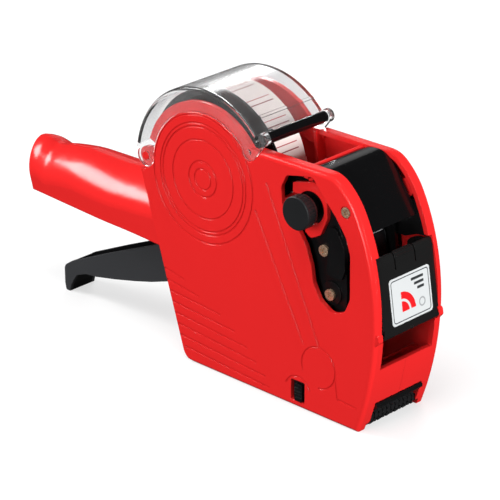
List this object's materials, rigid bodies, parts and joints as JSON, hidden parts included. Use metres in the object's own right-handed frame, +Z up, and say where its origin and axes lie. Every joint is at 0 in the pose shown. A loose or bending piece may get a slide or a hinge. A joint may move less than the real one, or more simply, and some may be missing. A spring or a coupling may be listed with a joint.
{
  "type": "hand-held price labeler",
  "caption": "Hand-held price labeler: roll housing with clear lift-up cover, squeeze lever under the handle, swinging band print head, ink door and selector knob.",
  "frame": {"origin": "middle of the flat sole, on the sole plane and on the parting plane of the two shells", "axes": "+X forward to the nose, +Y to the tool's left, +Z up from the sole; the selector knob is on the -Y side"},
  "size_m": [0.2323, 0.0527, 0.1337],
  "materials": {
    "red_plastic": "glossy",
    "black_plastic": "semi gloss",
    "grey_plastic": "satin",
    "clear_plastic": "clear",
    "label_paper": "matte",
    "core_board": "matte",
    "brass": "plain",
    "steel": "plain",
    "white_plastic": "satin",
    "band_rubber": "matte",
    "ink_foam": "matte"
  },
  "bodies": {
    "frame": {"right_shell": "red_plastic", "left_shell": "red_plastic", "shell_screws": "brass", "cross_brace": "red_plastic", "side_liner": "black_plastic", "roll_holder": "black_plastic", "web_guide": "black_plastic", "label_web": "label_paper", "platen": "steel", "peel_bar": "black_plastic", "main_pivot_pin": "steel", "return_spring": "steel", "feed_axle": "steel", "roller_axle": "steel"},
    "lever": {"trigger_lever": "grey_plastic", "right_cheek": "black_plastic", "left_cheek": "black_plastic", "head_frame": "black_plastic", "head_hood": "black_plastic", "selector_plate": "red_plastic", "cheek_screws": "brass", "spindle_tube": "steel", "print_bands": "band_rubber", "band_anvil": "steel", "index_window": "clear_plastic", "pawl_pin": "steel"},
    "pointer": {"selector_collar": "white_plastic"},
    "knob": {"selector_knob": "black_plastic"},
    "feed": {"feed_wheel": "grey_plastic", "feed_ratchet": "white_plastic"},
    "pawl": {"feed_pawl": "white_plastic"},
    "roll": {"label_roll": "label_paper", "label_core": "core_board"},
    "cover": {"clear_cover": "clear_plastic", "cover_bar": "black_plastic"},
    "ink_door": {"ink_cover": "black_plastic", "ink_label": "label_paper", "ink_axle": "steel"},
    "inker": {"ink_roller": "ink_foam", "ink_core": "white_plastic"},
    "sole_cover": {"bottom_cover": "black_plastic"},
    "right_latch": {"latch_tab_right": "black_plastic"},
    "left_latch": {"latch_tab_left": "black_plastic"},
    "applicator": {"applicator_roller": "band_rubber"},
    "wheel_1": {"digit_wheel_1": "white_plastic"},
    "wheel_2": {"digit_wheel_2": "white_plastic"},
    "wheel_3": {"digit_wheel_3": "white_plastic"},
    "wheel_4": {"digit_wheel_4": "white_plastic"},
    "wheel_5": {"digit_wheel_5": "white_plastic"},
    "wheel_6": {"digit_wheel_6": "white_plastic"},
    "wheel_7": {"digit_wheel_7": "white_plastic"},
    "wheel_8": {"digit_wheel_8": "white_plastic"}
  },
  "joints": [
    {"name": "squeeze", "type": "hinge", "parent": "frame", "child": "lever", "pos_m": [-0.05602, 0, 0.04399], "axis": [0, 1, 0], "range_deg": [0, 23], "stiffness_Nm_per_rad": 0.4, "springref_deg": -22.92},
    {"name": "selector_pull", "type": "slide", "parent": "lever", "child": "pointer", "axis": [0, -1, 0], "range_m": [0, 0.0182]},
    {"name": "selector_spin", "type": "hinge", "parent": "pointer", "child": "knob", "pos_m": [0.01581, 0, 0.09556], "axis": [0, 1, 0], "continuous": true},
    {"name": "feed_turn", "type": "hinge", "parent": "frame", "child": "feed", "pos_m": [0.01365, 0, 0.02058], "axis": [0, 1, 0], "continuous": true},
    {"name": "pawl_swing", "type": "hinge", "parent": "lever", "child": "pawl", "pos_m": [0.00562, 0, 0.05817], "axis": [0, 1, 0], "range_deg": [-3, 9], "stiffness_Nm_per_rad": 0.002},
    {"name": "roll_turn", "type": "hinge", "parent": "frame", "child": "roll", "pos_m": [-0.04835, 0, 0.09322], "axis": [0, 1, 0], "continuous": true},
    {"name": "cover_lift", "type": "hinge", "parent": "frame", "child": "cover", "pos_m": [-0.08084, 0, 0.09233], "axis": [0, -1, 0], "range_deg": [0, 100]},
    {"name": "ink_door_swing", "type": "hinge", "parent": "frame", "child": "ink_door", "pos_m": [0.05686, 0, 0.04646], "axis": [0, 1, 0], "range_deg": [0, 75]},
    {"name": "ink_roller_turn", "type": "hinge", "parent": "ink_door", "child": "inker", "pos_m": [0.04481, 0, 0.05554], "axis": [0, 1, 0], "continuous": true},
    {"name": "sole_cover_swing", "type": "hinge", "parent": "frame", "child": "sole_cover", "pos_m": [0.0459, 0, 0.00445], "axis": [0, -1, 0], "range_deg": [0, 70]},
    {"name": "right_latch_press", "type": "slide", "parent": "frame", "child": "right_latch", "axis": [0, 1, 0], "range_m": [0, 0.0012], "stiffness_N_per_m": 200, "springref_m": -0.0005},
    {"name": "left_latch_press", "type": "slide", "parent": "frame", "child": "left_latch", "axis": [0, -1, 0], "range_m": [0, 0.0012], "stiffness_N_per_m": 200, "springref_m": -0.0005},
    {"name": "applicator_turn", "type": "hinge", "parent": "frame", "child": "applicator", "pos_m": [0.0459, 0, 0.00445], "axis": [0, 1, 0], "continuous": true},
    {"name": "wheel_1_turn", "type": "hinge", "parent": "lever", "child": "wheel_1", "pos_m": [0.01581, 0, 0.09556], "axis": [0, 1, 0], "continuous": true},
    {"name": "wheel_2_turn", "type": "hinge", "parent": "lever", "child": "wheel_2", "pos_m": [0.01581, 0, 0.09556], "axis": [0, 1, 0], "continuous": true},
    {"name": "wheel_3_turn", "type": "hinge", "parent": "lever", "child": "wheel_3", "pos_m": [0.01581, 0, 0.09556], "axis": [0, 1, 0], "continuous": true},
    {"name": "wheel_4_turn", "type": "hinge", "parent": "lever", "child": "wheel_4", "pos_m": [0.01581, 0, 0.09556], "axis": [0, 1, 0], "continuous": true},
    {"name": "wheel_5_turn", "type": "hinge", "parent": "lever", "child": "wheel_5", "pos_m": [0.01581, 0, 0.09556], "axis": [0, 1, 0], "continuous": true},
    {"name": "wheel_6_turn", "type": "hinge", "parent": "lever", "child": "wheel_6", "pos_m": [0.01581, 0, 0.09556], "axis": [0, 1, 0], "continuous": true},
    {"name": "wheel_7_turn", "type": "hinge", "parent": "lever", "child": "wheel_7", "pos_m": [0.01581, 0, 0.09556], "axis": [0, 1, 0], "continuous": true},
    {"name": "wheel_8_turn", "type": "hinge", "parent": "lever", "child": "wheel_8", "pos_m": [0.01581, 0, 0.09556], "axis": [0, 1, 0], "continuous": true}
  ],
  "couplings": [
    {"joint": "feed_turn", "follows": "roll_turn", "ratio": -4.094},
    {"joint": "wheel_8_turn", "follows": "selector_spin", "ratio": 1}
  ]
}
